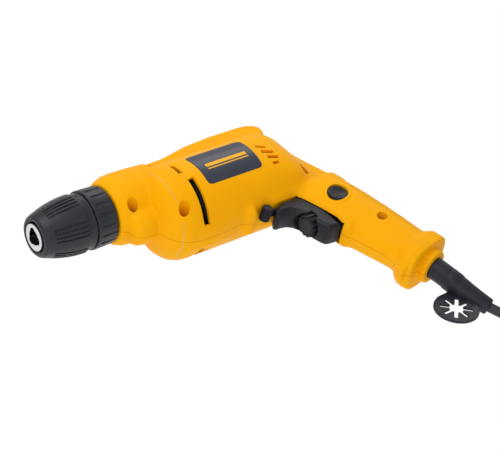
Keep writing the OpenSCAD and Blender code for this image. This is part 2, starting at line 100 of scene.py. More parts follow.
def make_stage():
    world = bpy.data.worlds.new("studio")
    bpy.context.scene.world = world
    world.use_nodes = True
    background = world.node_tree.nodes["Background"]
    background.inputs["Color"].default_value = (1.0, 1.0, 1.0, 1.0)
    background.inputs["Strength"].default_value = WORLD_STRENGTH
    make_light("key", (0.45, -0.20, 1.10), (1.0, 0.8), 6.5)
    make_light("fill", (0.9, 0.9, 0.55), (0.9, 0.7), 3.0)
    make_light("rim", (-0.7, -0.7, 0.8), (0.9, 0.5), 3.0)
    mesh = bpy.data.meshes.new("floor")
    s = FLOOR_HALF_M
    mesh.from_pydata([(-s, -s, 0), (s, -s, 0), (s, s, 0), (-s, s, 0)], [], [(0, 1, 2, 3)])
    floor = bpy.data.objects.new("floor", mesh)
    bpy.context.scene.collection.objects.link(floor)
    mat = bpy.data.materials.new("floor_white")
    mat.use_nodes = True
    shader = mat.node_tree.nodes["Principled BSDF"]
    shader.inputs["Base Color"].default_value = (0.02, 0.02, 0.02, 1.0)
    shader.inputs["Specular IOR Level"].default_value = 0.0
    shader.inputs["Roughness"].default_value = 0.9
    shader.inputs["Emission Color"].default_value = (1.0, 1.0, 1.0, 1.0)
    shader.inputs["Emission Strength"].default_value = 1.0
    mesh.materials.append(mat)


make_camera()
make_stage()

# ------------------------------------------------------------------ the mains cord
CORD_D = 7.2
BOOT_POINTS = [
    (-106.6, 60.3, 21.3), (-108.9, 71, 20.1), (-111.5, 81, 18), (-115, 92.5, 14.2),
    (-119.5, 104, 10), (-124.5, 115, 6.6),
]
LEAD_POINTS = [
    (-124.5, 115, 6.6), (-129.5, 125.5, 4.4), (-135, 137, 3.7), (-142, 150, 3.7), (-150, 163, 3.7),
    (-160, 175, 3.7), (-172, 184, 3.7), (-186, 189, 3.7),
]
TAIL_POINTS = [
    (-250.4, 127, 9.4), (-251, 115, 7.4), (-251.6, 104, 6.6), (-252, 93, 8.2), (-252, 83, 10),
]
COIL_CENTRE = (-203.0, 139.0)
LOW_RADII = (50.9, 43.6, 36.3, 29.0)
TOP_RADII = (32.6, 39.9, 47.2)
LOW_Z, TOP_Z = 3.7, 10.0
TURN_STEPS = 24
COIL_START_DEG = 90.0
SWING_FROM = 0.7


def turn_swing(i):
    """How far step i of a turn has moved over to the next turn, from 0 to 1."""
    t = max(0.0, (i / TURN_STEPS - SWING_FROM) / 0.3)
    return t * t * (3 - 2 * t)


def coil_points():
    """The turns of the coil: four below, wound inwards, and three on top of them, outwards."""
    radii, heights = [], []
    for k, r in enumerate(LOW_RADII):
        innermost = k == len(LOW_RADII) - 1
        following = TOP_RADII[0] if innermost else LOW_RADII[k + 1]
        for i in range(TURN_STEPS):
            radii.append(r + (following - r) * turn_swing(i))
            climb = turn_swing(i) if innermost else 0.0
            heights.append(LOW_Z + (TOP_Z - LOW_Z) * climb)
    for r, following in zip(TOP_RADII, TOP_RADII[1:]):
        for i in range(TURN_STEPS):
            radii.append(r + (following - r) * turn_swing(i))
            heights.append(TOP_Z)
    for i in range(TURN_STEPS // 4 + 1):
        radii.append(TOP_RADII[-1])
        heights.append(TOP_Z)
    points = []
    for i, (r, h) in enumerate(zip(radii, heights)):
        a = math.radians(COIL_START_DEG + 360.0 * i / TURN_STEPS)
        points.append((COIL_CENTRE[0] + r * math.cos(a), COIL_CENTRE[1] + r * math.sin(a), h))
    return points


def make_cord():
    """The cord as one curve, and its length in metres."""
    route = LEAD_POINTS + coil_points()[1:] + TAIL_POINTS
    curve = bpy.data.curves.new("mains_cord", "CURVE")
    curve.dimensions = "3D"
    curve.bevel_depth = CORD_D / 2 * MM
    curve.bevel_resolution = 5
    curve.resolution_u = 4
    curve.use_fill_caps = True
    spline = curve.splines.new("NURBS")
    spline.points.add(len(route) - 1)
    for p, q in zip(spline.points, route):
        p.co = (q[0] * MM, q[1] * MM, q[2] * MM, 1.0)
    spline.order_u = 4
    spline.use_endpoint_u = True
    cord = bpy.data.objects.new("mains_cord", curve)
    bpy.context.scene.collection.objects.link(cord)
    length = sum(math.dist(a, b) for a, b in zip(route, route[1:])) * MM
    return cord, length


cord, CORD_LENGTH = make_cord()


# ------------------------------------------------------------------ distance fields and meshing
def smooth_min(a, b, k):
    """Either of two distances, with a fillet about k wide where they meet."""
    h = np.maximum(k - np.abs(a - b), 0.0) / k
    return np.minimum(a, b) - h * h * k * 0.25


def smooth_max(a, b, k):
    """Both of two distances, with an edge rounded over about k."""
    return -smooth_min(-a, -b, k)


def polygon_distance(x, y, points):
    """Signed distance to a closed polygon, below zero inside."""
    best = None
    inside = None
    for (x0, y0), (x1, y1) in zip(points, points[1:] + points[:1]):
        ex, ey = x1 - x0, y1 - y0
        wx, wy = x - x0, y - y0
        t = np.clip((wx * ex + wy * ey) / (ex * ex + ey * ey), 0.0, 1.0)
        d = (wx - ex * t) ** 2 + (wy - ey * t) ** 2
        c = ((y0 <= y) != (y1 <= y)) & (x < ex * (y - y0) / (ey if ey else 1.0) + x0)
        best = d if best is None else np.minimum(best, d)
        inside = c if inside is None else inside ^ c
    d = np.sqrt(best)
    return np.where(inside, -d, d)


def rounded_and(a, b, r):
    """Both of two distances, with an edge of radius r."""
    a, b = a + r, b + r
    return np.minimum(np.maximum(a, b), 0.0) + np.hypot(np.maximum(a, 0.0), np.maximum(b, 0.0)) - r


def prism(x, y, z, points, half_w, edge):
    """A polygon in X and Y, carried half_w to each side along Z, with rounded edges."""
    return rounded_and(polygon_distance(x, y, points), np.abs(z) - half_w, edge)


def lathe_x(x, y, z, profile, y0=0.0):
    """A solid turned about an axis along X, from a list of (x, radius)."""
    rho = np.hypot(y - y0, z)
    closed = [(profile[0][0], -20.0)] + list(profile) + [(profile[-1][0], -20.0)]
    return polygon_distance(x, rho, closed)


SETTLE_ROUNDS = 4
SLOPE_REACH = 0.15


def surface_nets(field, low, high, step):
    """Quads on the zero level of a field, with each point then moved onto it."""
    axes = [np.arange(a, b + step, step, dtype=np.float32) for a, b in zip(low, high)]
    grid = np.meshgrid(*axes, indexing="ij", sparse=True)
    f = np.broadcast_to(field(*grid), [len(a) for a in axes]).astype(np.float32)
    inside = f < 0
    shape = f.shape
    strides = (shape[1] * shape[2], shape[2], 1)
    cells, places, quads = [], [], []
    for axis in range(3):
        lo = [slice(None)] * 3
        hi = [slice(None)] * 3
        lo[axis], hi[axis] = slice(0, -1), slice(1, None)
        for k in range(3):
            if k != axis:
                lo[k] = hi[k] = slice(1, -1)
        a, b = inside[tuple(lo)], inside[tuple(hi)]
        index = np.argwhere(a != b)
        offset = np.array([0 if k == axis else 1 for k in range(3)])
        index = index + offset
        i, j, k = index.T
        step_index = index.copy()
        step_index[:, axis] += 1
        f0 = f[i, j, k]
        f1 = f[tuple(step_index.T)]
        point = index.astype(np.float64)
        point[:, axis] += f0 / (f0 - f1)
        base = i * strides[0] + j * strides[1] + k
        u, v = [s for n, s in enumerate(strides) if n != axis]
        ring = np.stack([base - u - v, base - v, base, base - u], 1)
        flip = inside[i, j, k] == (axis == 1)
        ring[flip] = ring[flip][:, ::-1]
        quads.append(ring)
        for c in ring.T:
            cells.append(c)
            places.append(point)
    cells = np.concatenate(cells)
    places = np.concatenate(places)
    quads = np.concatenate(quads)
    unique, inverse = np.unique(cells, return_inverse=True)
    counts = np.bincount(inverse)
    verts = np.stack([np.bincount(inverse, places[:, k]) / counts for k in range(3)], 1)
    verts = verts * step + np.array([a[0] for a in axes])
    faces = np.searchsorted(unique, quads)
    for _ in range(SETTLE_ROUNDS):
        value = field(*verts.T)
        grad = np.stack([
            field(*(verts + shift).T) - field(*(verts - shift).T)
            for shift in SLOPE_REACH * np.eye(3)
        ], 1) / (2 * SLOPE_REACH)
        size = np.maximum((grad ** 2).sum(1), 0.05)
        move = -(value / size)[:, None] * grad
        reach = np.maximum(np.linalg.norm(move, axis=1) / (0.6 * step), 1.0)
        verts = verts + move / reach[:, None]
    return verts, faces


SHARP_DEG = 35.0


def mesh_object(name, verts, faces, matrix=REST, sharp=SHARP_DEG):
    """An object from points and faces, moved by matrix."""
    mesh = bpy.data.meshes.new(name)
    v = np.asarray(verts, dtype=np.float64)
    m = np.array(matrix)
    v = v @ m[:3, :3].T + m[:3, 3]
    mesh.from_pydata(v.tolist(), [], [list(map(int, f)) for f in faces])
    mesh.validate()
    mesh.update()
    obj = bpy.data.objects.new(name, mesh)
    bpy.context.scene.collection.objects.link(obj)
    finish_mesh(obj, sharp)
    return obj


def finish_mesh(obj, sharp=SHARP_DEG):
    """Smooth shading, with edges sharper than an angle left crisp."""
    mesh = obj.data
    mesh.shade_smooth()
    mesh.set_sharp_from_angle(angle=math.radians(sharp))


def apply_modifiers(obj):
    """Swaps the object's mesh for what its modifiers make of it."""
    graph = bpy.context.evaluated_depsgraph_get()
    mesh = bpy.data.meshes.new_from_object(obj.evaluated_get(graph))
    old = obj.data
    obj.modifiers.clear()
    obj.data = mesh
    bpy.data.meshes.remove(old)


def boolean(obj, tool, operation="DIFFERENCE"):
    """Cuts obj by a closed tool, and removes the tool."""
    mod = obj.modifiers.new("cut", "BOOLEAN")
    mod.operation = operation
    mod.solver = "MANIFOLD"
    mod.object = tool
    apply_modifiers(obj)
    mesh = tool.data
    bpy.data.objects.remove(tool)
    bpy.data.meshes.remove(mesh)


def skin_rings(bm, rings, closed=False):
    """Quads between successive rings of points, capped at both ends unless it runs round."""
    pairs = list(zip(rings, rings[1:]))
    if closed:
        pairs.append((rings[-1], rings[0]))
    sides = len(rings[0])
    for p, q in pairs:
        for k in range(sides):
            m = (k + 1) % sides
            bm.faces.new((p[k], p[m], q[m], q[k]))
    if not closed:
        bm.faces.new(rings[0][::-1])
        bm.faces.new(rings[-1])


def circle_ring(bm, centre, radius, side, up, sides):
    """Points of bm on a circle, given two unit directions across it."""
    return [
        bm.verts.new(centre + radius * (math.cos(t) * side + math.sin(t) * up))
        for t in (2 * math.pi * k / sides for k in range(sides))
    ]


def tube_solid(bm, p0, p1, r0, r1, sides=32):
    """A closed round bar between two points, added to bm."""
    a, b = Vector(p0), Vector(p1)
    axis = (b - a).normalized()
    side = axis.orthogonal().normalized()
    up = axis.cross(side)
    skin_rings(bm, [circle_ring(bm, c, r, side, up, sides) for c, r in ((a, r0), (b, r1))])


def prism_solid(bm, points, z0, z1):
    """A closed prism along Z over a polygon, added to bm."""
    area = sum(a[0] * b[1] - b[0] * a[1] for a, b in zip(points, points[1:] + points[:1]))
    pts = points if area > 0 else points[::-1]
    skin_rings(bm, [[bm.verts.new((x, y, z)) for x, y in pts] for z in (z0, z1)])


def sector_solid(bm, x0, x1, r0, r1, a0, a1, steps):
    """A closed piece of a ring round the motor's axis, from angle a0 to a1 in degrees from +Y."""
    rings = []
    for i in range(steps + 1):
        a = math.radians(a0 + (a1 - a0) * (i / steps))
        rings.append([
            bm.verts.new((x, MOTOR_Y + r * math.cos(a), r * math.sin(a)))
            for x, r in ((x0, r0), (x1, r0), (x1, r1), (x0, r1))
        ])
    skin_rings(bm, rings)


def bm_object(name, bm, matrix=REST, sharp=SHARP_DEG):
    """An object from a bmesh, which it uses up."""
    mesh = bpy.data.meshes.new(name)
    bmesh.ops.recalc_face_normals(bm, faces=bm.faces[:])
    bm.transform(matrix)
    bm.to_mesh(mesh)
    bm.free()
    obj = bpy.data.objects.new(name, mesh)
    bpy.context.scene.collection.objects.link(obj)
    finish_mesh(obj, sharp)
    return obj


def field_object(name, field, low, high, step, matrix=REST):
    """An object on the zero level of a field inside a box, in cells of one step."""
    verts, faces = surface_nets(field, low, high, step)
    return mesh_object(name, verts, faces, matrix)


# ------------------------------------------------------------------ the two yellow shells
SHELL_WALL = 2.4
TRIGGER_HALF_W = 9.2
LOCK = (-215.6, 73.2)
# Each screw's place, and the height of its seat
SCREWS = [
    (-68.5, 18.0, 8.0), (-95.0, 43.0, 10.0), (-111.0, -20.5, 4.0), (-209.5, 41.0, 10.0),
    (-227.5, 110.0, 10.0),
]
# Profiles of turned shapes are lists of (x, radius)
COLLAR_PROFILE = [
    (-58.3, 20.0), (-58.3, 22.0), (-61.0, 24.0), (-66.0, 25.9), (-72.0, 26.4), (-84.0, 26.3),
    (-100.0, 25.6),
]
BOSS_PROFILE = [
    (-62.4, 4.0), (-63.0, 8.0), (-65.0, 11.6), (-68.5, 14.0), (-74.0, 15.0), (-86.0, 14.6),
]
BOSS_Y = 21.0
MOTOR_PROFILE = [
    (-82.0, 14.0), (-83.4, 20.0), (-85.4, 25.0), (-88.8, 29.6), (-92.8, 32.8), (-97.5, 34.7),
    (-103.0, 35.3), (-106.8, 35.2), (-107.8, 34.6), (-109.2, 34.7), (-110.2, 35.3), (-196.0, 35.3),
    (-203.0, 33.8), (-212.0, 28.5), (-222.0, 18.0),
]
# The rear end of the motor housing, seen from the side and from above
REAR_SIDE = [
    (-60, -60), (-176, -60), (-188, -15.2), (-200, -12.5), (-209, -9.0), (-216, -3.0), (-221, 4.5),
    (-225, 13.0), (-229, 24.0), (-234, 38.0), (-238, 52.0), (-240, 120), (-60, 120),
]
REAR_PLAN = [
    (-60, -60), (-176, -35.4), (-188, -33.0), (-199, -28.4), (-208, -22.5), (-216, -14.8),
    (-221, -8.0), (-223.5, 0.0), (-221, 8.0), (-216, 14.8), (-208, 22.5), (-199, 28.4),
    (-188, 33.0), (-176, 35.4), (-60, 60),
]
# Side outlines: the back between motor and handle, then the ridge, web and belly further down
SPINE = [
    (-180, -4), (-205, -9), (-213, -5), (-221, 5), (-227, 17), (-232, 30), (-237.5, 46), (-240, 58),
    (-205, 64), (-190, 44),
]
# The handle's front, back and half width at each height
HANDLE_Y = (30.0, 46.0, 60.0, 80.0, 100.0, 115.0, 125.0, 134.0, 141.0, 147.0, 151.0, 160.0)
HANDLE_FRONT = (
    -190.0, -194.0, -198.5, -202.0, -205.5, -210.5, -214.2, -216.8, -216.6, -214.2, -211.8, -210.5,
)
HANDLE_BACK = (
    -231.0, -236.5, -240.5, -245.5, -249.5, -252.0, -253.4, -254.8, -256.0, -257.8, -259.6, -261.0,
)
HANDLE_HALF_W = (16.0, 17.6, 18.2, 18.4, 18.4, 17.9, 17.4, 17.0, 17.1, 17.8, 18.8, 19.5)
HANDLE_POWER = 2.08
FLANGE_POWER = 3.3
GRIP_AT = (-228.0, 100.0)
GRIP_LEAN = math.radians(12)
RIDGE = [
    (-100, -6), (-101, -21), (-105, -25.5), (-112, -27.6), (-128, -28.2), (-140, -30.6),
    (-152, -33), (-176, -34.9), (-206, -35.0), (-214, -33.8), (-219.5, -31.0), (-222.8, -27.0),
    (-222.6, -22.5), (-219, -15), (-210, -6), (-134, -6),
]
WEB = [
    (-148, 40), (-148, 55.8), (-149.6, 57.6), (-152.4, 57.6), (-153.4, 51.5), (-166, 51.5),
    (-174, 54.8), (-188, 54.4), (-191.6, 56), (-193.8, 60.7), (-199.4, 75.4), (-203.6, 88.8),
    (-202.6, 95.0), (-205.0, 101.5), (-226, 104), (-218, 40),
]
BELLY = [
    (-81, 20), (-88.5, 38.0), (-93, 45.5), (-99, 52.0), (-107, 55.4), (-115, 56.0), (-125, 55.4),
    (-136, 53.2), (-148, 50.0), (-160, 46), (-160, 20),
]


def superellipse(u, w, power, size):
    """Rough distance to a squarish oval, where u and w are 1 on its two half axes."""
    return ((u ** power + w ** power) ** (1 / power) - 1.0) * size


def on_grip(x, y):
    """The handle end's own axes: forward, and down the handle."""
    c, s = math.cos(GRIP_LEAN), math.sin(GRIP_LEAN)
    dx, dy = x - GRIP_AT[0], y - GRIP_AT[1]
    return dx * c + dy * s, -dx * s + dy * c


def handle_field(x, y, z):
    front = np.interp(y, HANDLE_Y, HANDLE_FRONT)
    back = np.interp(y, HANDLE_Y, HANDLE_BACK)
    half_w = np.interp(y, HANDLE_Y, HANDLE_HALF_W)
    a = (front - back) / 2
    u = np.abs((x - (front + back) / 2) / a)
    w = np.abs(z) / half_w
    d = superellipse(u, w, HANDLE_POWER, np.minimum(a, half_w))
    _, gv = on_grip(x, y)
    return rounded_and(d, np.abs(gv) - 50.0, 2.0)


def flange_field(x, y, z):
    """The block at the handle's end, and the round seat of the cord's boot."""
    gu, gv = on_grip(x, y)
    spread = np.clip((gv - 38.5) / 5.5, 0.0, 1.0)
    a = 19.2 + 3.2 * spread
    b = 16.2 + 2.3 * spread
    d = superellipse(np.abs(gu - 0.9) / a, np.abs(z) / b, FLANGE_POWER, b)
    block = rounded_and(d, np.abs(gv - 46.4) - 7.6, 1.8)
    ring = rounded_and(np.hypot(gu, z) - 13.2, np.abs(gv - 53.0) - 6.8, 1.4)
    return smooth_min(block, ring, 1.2)


def outer_field(x, y, z):
    """The outside of both shells together."""
    collar = lathe_x(x, y, z, COLLAR_PROFILE)
    boss = lathe_x(x, y, z, BOSS_PROFILE, y0=BOSS_Y)
    motor = lathe_x(x, y, z, MOTOR_PROFILE, y0=MOTOR_Y)
    rear = smooth_max(polygon_distance(x, y, REAR_SIDE), polygon_distance(x, z, REAR_PLAN), 9.0)
    motor = smooth_max(motor, rear, 7.0)
    belly = prism(x, y, z, BELLY, 12.0, 7.0)
    spine = prism(x, y, z, SPINE, 10.0, 8.0)
    handle = handle_field(x, y, z)
    web = prism(x, y, z, WEB, 12.2, 4.6)
    ridge = prism(x, y, z, RIDGE, 9.2, 4.4)
    neck = smooth_min(collar, boss, 0.8)
    body = smooth_min(neck, motor, 1.4)
    body = smooth_min(body, belly, 5.0)
    grip = smooth_min(smooth_min(handle, spine, 8.0), web, 5.0)
    body = smooth_min(body, grip, 7.0)
    body = smooth_min(body, flange_field(x, y, z), 2.4)
    body = smooth_min(body, ridge, 1.6)
    rho = np.hypot(x - LOCK[0], y - LOCK[1])
    ring = rounded_and(rho - 10.4, body - 0.7, 0.6) + 1e3 * (z < 0)
    return np.minimum(body, ring)


def hollow_field(x, y, z):
    """The space inside the shells, clear of the posts that hold the screws."""
    outer = outer_field(x, y, z)
    posts = np.full(np.broadcast(x, y, z).shape, 1e3)
    for sx, sy, _ in SCREWS:
        posts = np.minimum(posts, np.hypot(x - sx, y - sy) - 6.6)
    space = smooth_max(outer + SHELL_WALL, -posts, 4.0)
    return smooth_max(space, x + 62.5, 2.0)


# Each louvre from one end to the other: angle in degrees and x, twice
LOUVRES = [
    (95.0, -177.7, 89.5, -185.6), (83.7, -178.4, 77.7, -188.4), (72.6, -179.6, 68.0, -189.0),
    (61.0, -180.0, 60.5, -186.0),
]
# Across the louvre and out from the skin: a step on one side, a sloping floor up to the other
LOUVRE_SECTION = [(-1.7, 6.0), (-1.7, -2.9), (1.9, 0.1), (1.9, 6.0)]
LOUVRE_STEPS = 6


def surface_at(x, angle):
    """The place on the outside skin at one angle round the motor, and its normal."""
    t = math.radians(angle)
    low, high = MOTOR_R - 14.0, MOTOR_R + 4.0
    for _ in range(24):
        mid = (low + high) / 2
        if outer_field(np.float64(x), MOTOR_Y + mid * math.cos(t), mid * math.sin(t)) < 0:
            low = mid
        else:
            high = mid
    place = Vector((x, MOTOR_Y + low * math.cos(t), low * math.sin(t)))
    slope = [
        outer_field(*(np.array(place) + shift)) - outer_field(*(np.array(place) - shift))
        for shift in 0.3 * np.eye(3)
    ]
    return place, Vector([float(v) for v in slope]).normalized()


def louvre_solid(bm, start, end, side):
    """A cutter for one louvre: its floor slopes from the surface down to a step."""
    line = [
        surface_at(*(a + (b - a) * k / LOUVRE_STEPS for a, b in zip(start, end)))
        for k in range(LOUVRE_STEPS + 1)
    ]
    rings = []
    for n, (place, normal) in enumerate(line):
        along = (line[min(n + 1, LOUVRE_STEPS)][0] - line[max(n - 1, 0)][0]).normalized()
        across = along.cross(normal).normalized() * side
        rings.append([bm.verts.new(place + across * u + normal * v) for u, v in LOUVRE_SECTION])
    skin_rings(bm, rings)


# Openings: the chuck's bore, the trigger's slot, then room for its cheeks and for the lever's tab
CHUCK_BORE_R = 9.0
SCREW_POCKET_R = (4.0, 4.2)
TRIGGER_SLOT = [
    (-153.2, 59.2), (-167, 59.2), (-173, 55.6), (-177, 54.9), (-210.5, 54.9), (-213.2, 94),
    (-211.4, 97.2), (-153.2, 97.2),
]
TRIGGER_GAP = 0.45
CHEEK_SLOT = [(-166, 55.6), (-192, 55.6), (-192, 60), (-166, 60)]
LEVER_SLOT = [(-153.6, 54.4), (-167.2, 54.4), (-167.2, 62), (-153.6, 62)]
CORD_HOLE_R = 8.6
# Vents round the motor: x from and to, angle from and to, and steps along it
VENTS = [
    (-112.6, -107.2, 16.8, 78, 24), (-112.6, -107.2, -78, -16.8, 24),
    (-108.4, -104.6, 89, 108, 12), (-108.4, -104.6, -108, -89, 12),
]
VENT_RADII = (27.0, 45.0)
# Two small oval pockets in the edge of the right shell's belly
BELLY_POCKETS = [
    ((-87.0, 50.0, -6.5), (-82.0, 64.0, -9.5)), ((-114.5, 47.5, -16.0), (-118.0, 58.0, -26.0)),
]


def cut_housing():
    """Every opening in the shells, as closed cutting meshes in the drill's axes."""
    cutters = []

    def cutter(make, *args, **kwargs):
        bm = bmesh.new()
        make(bm, *args, **kwargs)
        cutters.append(bm_object("housing_cut", bm))

    cutter(tube_solid, (-50, 0, 0), (-66, 0, 0), CHUCK_BORE_R, CHUCK_BORE_R, 64)
    for sx, sy, floor in SCREWS:
        cutter(tube_solid, (sx, sy, floor), (sx, sy, 60), *SCREW_POCKET_R, 40)
    half_w = TRIGGER_HALF_W + TRIGGER_GAP
    cutter(prism_solid, TRIGGER_SLOT, -half_w, half_w)
    cutter(prism_solid, CHEEK_SLOT, -10.2, 10.2)
    cutter(prism_solid, LEVER_SLOT, -13.2, 13.2)
    cutter(tube_solid, (LOCK[0], LOCK[1], 5), (LOCK[0], LOCK[1], 40), 8.0, 8.0, 48)
    x, y = GRIP_AT
    c, s = math.cos(GRIP_LEAN), math.sin(GRIP_LEAN)
    cord_hole = [(x - down * s, y + down * c, 0) for down in (44, 75)]
    cutter(tube_solid, *cord_hole, CORD_HOLE_R, CORD_HOLE_R, 48)
    for a0, x0, a1, x1 in LOUVRES:
        for side in (1, -1):
            cutter(louvre_solid, (x0, side * a0), (x1, side * a1), side)
    for x0, x1, a0, a1, steps in VENTS[:2]:
        cutter(sector_solid, x0, x1, *VENT_RADII, a0, a1, steps)
    for inside, outside in BELLY_POCKETS:
        cutter(tube_solid, inside, outside, 3.2, 3.6, 32)
    for x0, x1, a0, a1, steps in VENTS[2:]:
        cutter(sector_solid, x0, x1, *VENT_RADII, a0, a1, steps)
    return cutters


PARTING_GAP = 0.14


def half_box(side):
    """The space that one shell may fill, short of the parting plane."""
    bm = bmesh.new()
    z0, z1 = (PARTING_GAP, 90.0) if side > 0 else (-90.0, -PARTING_GAP)
    prism_solid(bm, [(-320, -80), (60, -80), (60, 240), (-320, 240)], z0, z1)
    return bm_object("half_box", bm)


def make_shells():
    """Both shells: one hollow body with its openings cut, split at the parting plane."""
    low, high = (-264, -38, -38.5), (-56, 165, 38.5)
    left = field_object("housing", outer_field, low, high, 0.9)
    boolean(left, field_object("hollow", hollow_field, low, high, 1.3))
    for cutter in cut_housing():
        boolean(left, cutter)
    right = left.copy()
    right.data = left.data.copy()
    bpy.context.scene.collection.objects.link(right)
    for obj, side, name, node in (
        (left, 1, "shell_left", "housing_left"), (right, -1, "shell_right", "housing_right"),
    ):
        boolean(obj, half_box(side), "INTERSECT")
        obj.name = obj.data.name = name
        finish_mesh(obj, 32.0)
        piece(obj, "yellow_plastic", "housing", node)


# ------------------------------------------------------------------ materials
def shader_of(mat):
    """The material's Principled shader."""
    mat.use_nodes = True
    return mat.node_tree.nodes["Principled BSDF"]


def add_node(mat, kind, **values):
    """A new node, with each value set on the node itself or else on its input of that name."""
    node = mat.node_tree.nodes.new(kind)
    for key, value in values.items():
        if hasattr(node, key):
            setattr(node, key, value)
        else:
            node.inputs[key.replace("_", " ")].default_value = value
    return node


def link(mat, a, out, b, into):
    mat.node_tree.links.new(a.outputs[out], b.inputs[into])


def add_ramp(mat, low, low_colour, high, high_colour):
    """A ramp between two colours."""
    ramp = add_node(mat, "ShaderNodeValToRGB")
    for element, place, colour in zip(
        ramp.color_ramp.elements, (low, high), (low_colour, high_colour),
    ):
        element.position = place
        element.color = (*colour, 1.0)
    return ramp


def add_range(mat, low, high, to_low=0.0, to_high=1.0):
    """A node that maps one range of values to another."""
    node = add_node(mat, "ShaderNodeMapRange", To_Min=to_low, To_Max=to_high)
    node.inputs["From Min"].default_value = low
    node.inputs["From Max"].default_value = high
    return node


def moulded(name, colour, shade, rough=(0.34, 0.46), grain=0.00045, depth=0.00004,
            strength=0.35, specular=0.5, coat=0.0):
    """Moulded plastic: slight colour drift, uneven gloss and a fine pebbled skin."""
    mat = bpy.data.materials.new(name)
    shader = shader_of(mat)
    place = add_node(mat, "ShaderNodeTexCoord")
    drift = add_node(mat, "ShaderNodeTexNoise", Scale=22.0, Detail=3.0, Roughness=0.55)
    link(mat, place, "Object", drift, "Vector")
    ramp = add_ramp(mat, 0.32, shade, 0.62, colour)
    link(mat, drift, "Fac", ramp, "Fac")
    link(mat, ramp, "Color", shader, "Base Color")
    smear = add_node(mat, "ShaderNodeTexNoise", Scale=70.0, Detail=4.0, Roughness=0.6)
    link(mat, place, "Object", smear, "Vector")
    gloss = add_range(mat, 0.3, 0.7, *rough)
    link(mat, smear, "Fac", gloss, "Value")
    link(mat, gloss, "Result", shader, "Roughness")
    pebble = add_node(mat, "ShaderNodeTexNoise", Scale=1.0 / grain, Detail=2.0, Roughness=0.5)
    link(mat, place, "Object", pebble, "Vector")
    bump = add_node(mat, "ShaderNodeBump", Strength=strength, Distance=depth)
    link(mat, pebble, "Fac", bump, "Height")
    link(mat, bump, "Normal", shader, "Normal")
    shader.inputs["Specular IOR Level"].default_value = specular
    if coat:
        shader.inputs["Coat Weight"].default_value = coat
        shader.inputs["Coat Roughness"].default_value = 0.12
    return mat


def metal(name, colour, rough=(0.2, 0.35), stretch=(1.0, 60.0, 60.0), strength=0.15):
    """Turned or ground metal: streaks round the part, and tiny scratches."""
    mat = bpy.data.materials.new(name)
    shader = shader_of(mat)
    shader.inputs["Metallic"].default_value = 1.0
    place = add_node(mat, "ShaderNodeTexCoord")
    scale = add_node(mat, "ShaderNodeMapping")
    scale.inputs["Scale"].default_value = stretch
    link(mat, place, "Object", scale, "Vector")
    streaks = add_node(mat, "ShaderNodeTexNoise", Scale=60.0, Detail=4.0, Roughness=0.6)
    link(mat, scale, "Vector", streaks, "Vector")
    ramp = add_ramp(mat, 0.3, [c * 0.72 for c in colour], 0.7, colour)
    link(mat, streaks, "Fac", ramp, "Fac")
    link(mat, ramp, "Color", shader, "Base Color")
    gloss = add_range(mat, 0.0, 1.0, *rough)
    link(mat, streaks, "Fac", gloss, "Value")
    link(mat, gloss, "Result", shader, "Roughness")
    bump = add_node(mat, "ShaderNodeBump", Strength=strength, Distance=0.00005)
    link(mat, streaks, "Fac", bump, "Height")
    link(mat, bump, "Normal", shader, "Normal")
    return mat


def painted_bore_shade(mat):
    """Paints shade on the walls of the hole down the middle of the chuck, where little light
    reaches.
    """
    shader = shader_of(mat)
    colour = next(n for n in mat.node_tree.nodes if n.bl_idname == "ShaderNodeValToRGB")
    place = add_node(mat, "ShaderNodeTexCoord")
    shift = add_node(mat, "ShaderNodeMapping")
    shift.inputs["Location"].default_value = (0.0, 0.086, -0.038)
    shift.inputs["Scale"].default_value = (0.0, 1.0, 1.0)
    link(mat, place, "Object", shift, "Vector")
    radius = add_node(mat, "ShaderNodeVectorMath", operation="LENGTH")
    link(mat, shift, "Vector", radius, 0)
    # painted shade: inside a radius of 5.6 mm the steel's colour is scaled down to 3 percent,
    # fading back to full by 6.0 mm
    light = add_range(mat, 0.0056, 0.0060, 0.03, 1.0)
    link(mat, radius, "Value", light, "Value")
    scaled = add_node(mat, "ShaderNodeVectorMath", operation="SCALE")
    link(mat, colour, "Color", scaled, 0)
    link(mat, light, "Result", scaled, "Scale")
    link(mat, scaled, "Vector", shader, "Base Color")
    return mat


def yellow_plastic():
    """The shells' plastic, with a knurl on the back of the handle."""
    mat = moulded("yellow_plastic", (0.94, 0.425, 0.0005), (0.90, 0.39, 0.0005), (0.46, 0.58),
                  specular=0.06)
    shader = shader_of(mat)
    skin = next(n for n in mat.node_tree.nodes if n.bl_idname == "ShaderNodeBump")
    place = add_node(mat, "ShaderNodeTexCoord")
    spin = add_node(mat, "ShaderNodeMapping")
    spin.inputs["Rotation"].default_value = (REST_TILT, 0.0, -GRIP_LEAN)
    link(mat, place, "Object", spin, "Vector")
    cells = add_node(mat, "ShaderNodeTexVoronoi", Scale=620.0, Randomness=0.15)
    link(mat, spin, "Vector", cells, "Vector")
    split = add_node(mat, "ShaderNodeSeparateXYZ")
    link(mat, spin, "Vector", split, "Vector")
    height, output = cells, "Distance"
    for axis, limits in (
        ("X", (-0.0990, -0.0970, 1.0, 0.0)), ("Y", (-0.006, 0.002, 0.0, 1.0)),
        ("Y", (0.066, 0.070, 1.0, 0.0)),
    ):
        edge = add_range(mat, *limits)
        link(mat, split, axis, edge, "Value")
        product = add_node(mat, "ShaderNodeMath", operation="MULTIPLY")
        link(mat, height, output, product, 0)
        link(mat, edge, "Result", product, 1)
        height, output = product, "Value"
    knurl = add_node(mat, "ShaderNodeBump", Strength=0.9, Distance=0.0009)
    link(mat, height, "Value", knurl, "Height")
    link(mat, skin, "Normal", knurl, "Normal")
    link(mat, knurl, "Normal", shader, "Normal")
    return mat


